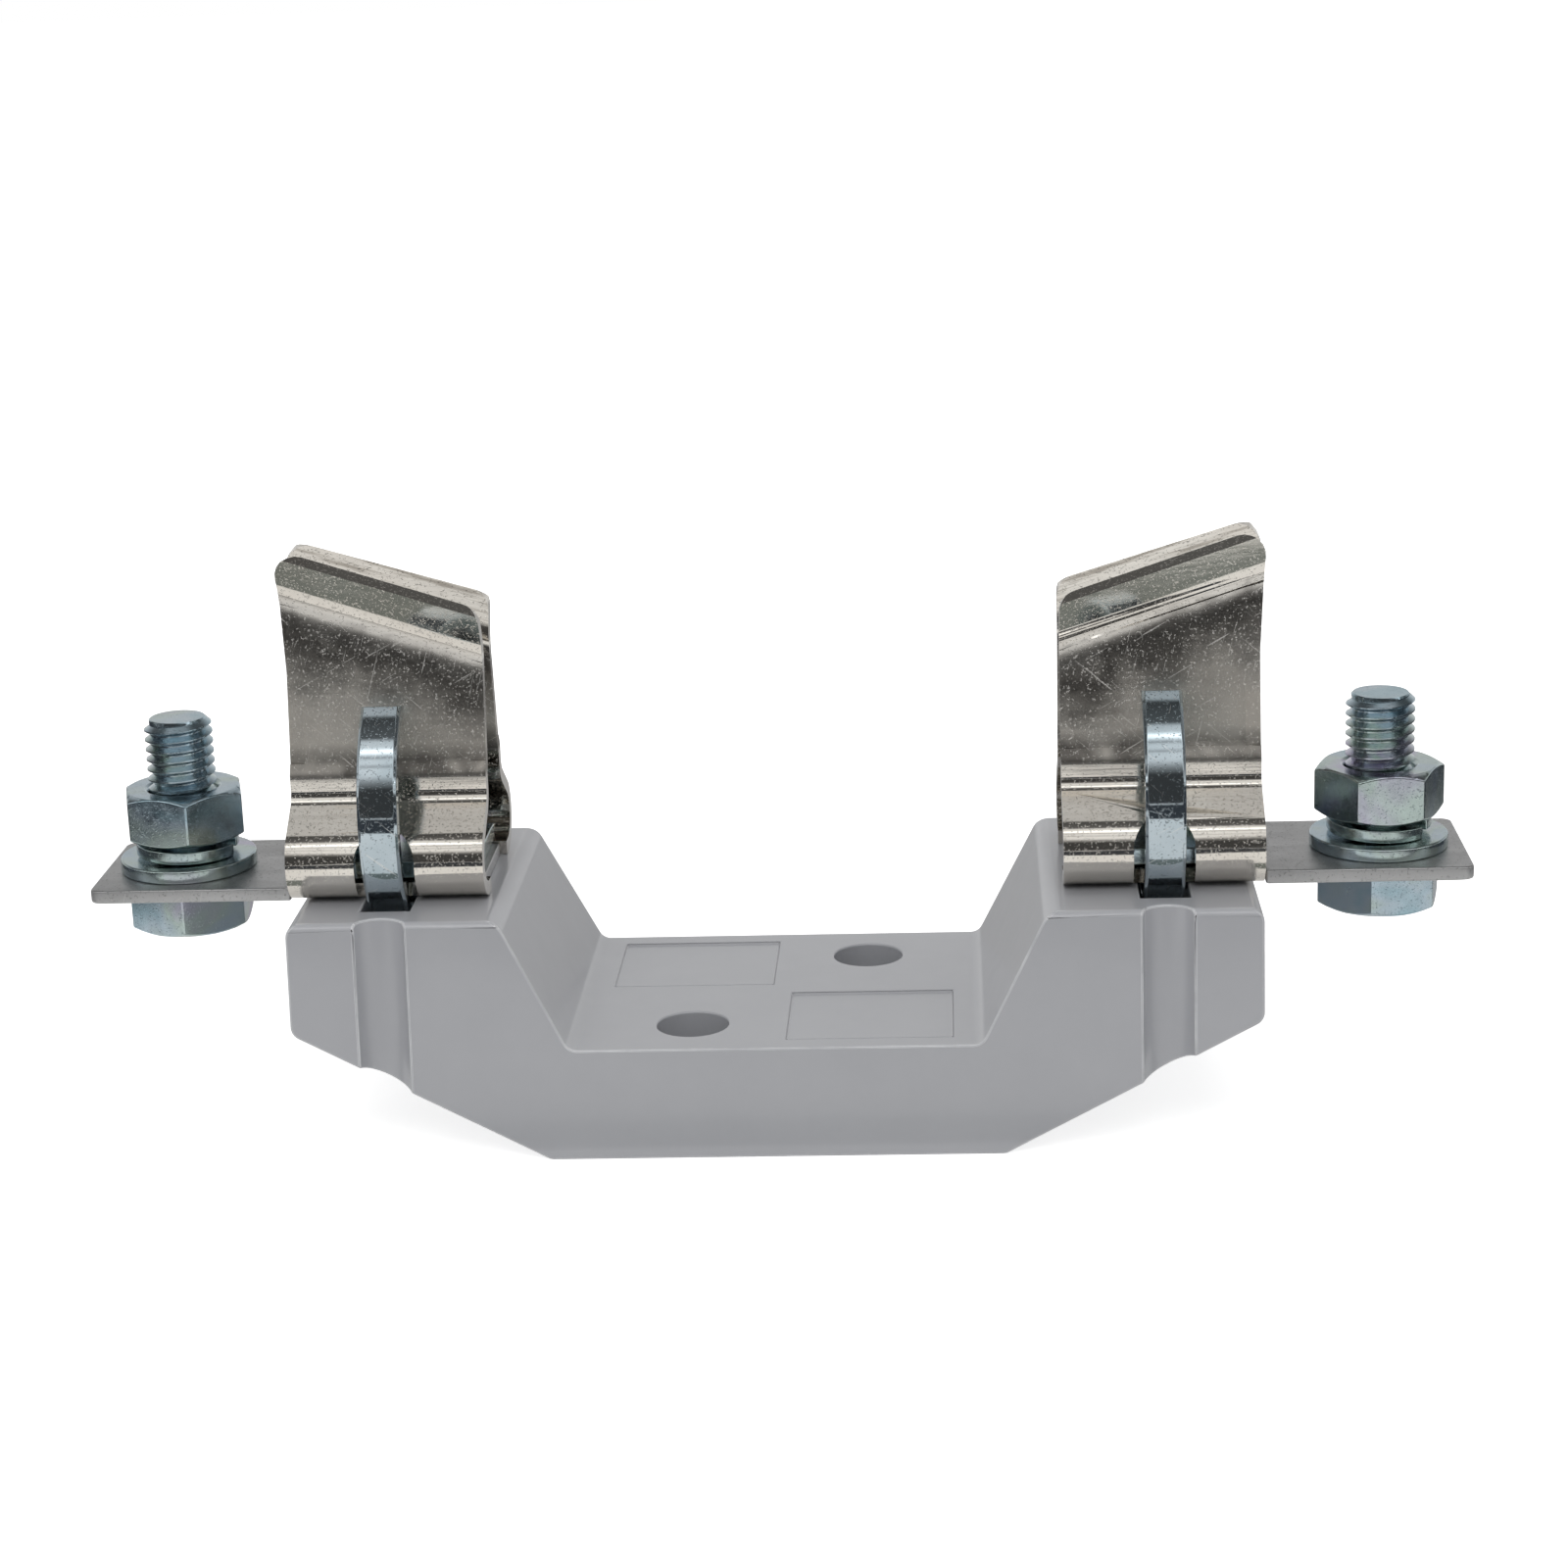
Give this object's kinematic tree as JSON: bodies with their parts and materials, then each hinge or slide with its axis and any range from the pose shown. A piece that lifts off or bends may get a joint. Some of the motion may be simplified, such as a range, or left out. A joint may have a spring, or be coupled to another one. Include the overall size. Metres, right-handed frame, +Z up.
{
  "type": "nh fuse base",
  "caption": "Fuse base: moulded two-tower body with a spring-ringed lyre contact on each tower for a knife-blade fuse link and a bolted terminal strap at each end.",
  "frame": {"origin": "middle of the base's underside", "axes": "+X along the base to the right-hand terminal, +Y to the rear, +Z up out of the jaws"},
  "size_m": [0.2016, 0.054, 0.0849],
  "materials": {
    "grey_moulding": "semi-gloss moulded grey",
    "strap_metal": "matt silver-grey plated sheet",
    "contact_metal": "bright nickel or tin plated copper sheet",
    "ring_steel": "bluish zinc plated spring steel",
    "zinc_steel": "blue passivated bright zinc"
  },
  "bodies": {
    "frame": {"base_body": "grey_moulding", "left_strap": "strap_metal", "right_strap": "strap_metal", "left_clamp_plate": "zinc_steel", "right_clamp_plate": "zinc_steel", "left_spring_ring": "ring_steel", "right_spring_ring": "ring_steel", "left_fixing_screws": "zinc_steel", "right_fixing_screws": "zinc_steel", "left_fixing_washers": "zinc_steel", "right_fixing_washers": "zinc_steel", "left_fixing_nuts": "zinc_steel", "right_fixing_nuts": "zinc_steel", "left_terminal_bolt": "zinc_steel", "right_terminal_bolt": "zinc_steel"},
    "left_front_jaw": {"left_front_jaw": "contact_metal"},
    "left_rear_jaw": {"left_rear_jaw": "contact_metal"},
    "left_washers": {"left_flat_washer": "zinc_steel", "left_spring_washer": "zinc_steel"},
    "left_nut": {"left_terminal_nut": "zinc_steel"},
    "right_front_jaw": {"right_front_jaw": "contact_metal"},
    "right_rear_jaw": {"right_rear_jaw": "contact_metal"},
    "right_washers": {"right_flat_washer": "zinc_steel", "right_spring_washer": "zinc_steel"},
    "right_nut": {"right_terminal_nut": "zinc_steel"}
  },
  "joints": [
    {"name": "left_front_jaw_spread", "type": "hinge", "parent": "frame", "child": "left_front_jaw", "pos_m": [-0.0562, -0.0107, 0.04105], "axis": [1, 0, 0], "range_deg": [0, 1.5], "stiffness_Nm_per_rad": 1.5, "deforming": ["left_spring_ring"]},
    {"name": "left_rear_jaw_spread", "type": "hinge", "parent": "frame", "child": "left_rear_jaw", "pos_m": [-0.0562, 0.0107, 0.04105], "axis": [1, 0, 0], "range_deg": [-1.5, 0], "deforming": ["left_spring_ring"]},
    {"name": "left_washer_lift", "type": "slide", "parent": "frame", "child": "left_washers", "axis": [0, 0, 1], "range_m": [0, 0.008]},
    {"name": "left_nut_turn", "type": "hinge", "parent": "left_washers", "child": "left_nut", "pos_m": [-0.0885, 0, 0.045], "axis": [0, 0, 1], "range_deg": [0, 1921]},
    {"name": "right_front_jaw_spread", "type": "hinge", "parent": "frame", "child": "right_front_jaw", "pos_m": [0.0562, -0.0107, 0.04105], "axis": [1, 0, 0], "range_deg": [0, 1.5], "stiffness_Nm_per_rad": 1.5, "deforming": ["right_spring_ring"]},
    {"name": "right_rear_jaw_spread", "type": "hinge", "parent": "frame", "child": "right_rear_jaw", "pos_m": [0.0562, 0.0107, 0.04105], "axis": [1, 0, 0], "range_deg": [-1.5, 0], "deforming": ["right_spring_ring"]},
    {"name": "right_washer_lift", "type": "slide", "parent": "frame", "child": "right_washers", "axis": [0, 0, 1], "range_m": [0, 0.008]},
    {"name": "right_nut_turn", "type": "hinge", "parent": "right_washers", "child": "right_nut", "pos_m": [0.0885, 0, 0.045], "axis": [0, 0, 1], "range_deg": [0, 1921]}
  ],
  "couplings": [
    {"joint": "left_rear_jaw_spread", "follows": "left_front_jaw_spread", "ratio": -1},
    {"joint": "left_nut_turn", "follows": "left_washer_lift", "rad_per_m": 4188.8},
    {"joint": "right_rear_jaw_spread", "follows": "right_front_jaw_spread", "ratio": -1},
    {"joint": "right_nut_turn", "follows": "right_washer_lift", "rad_per_m": 4188.8}
  ]
}
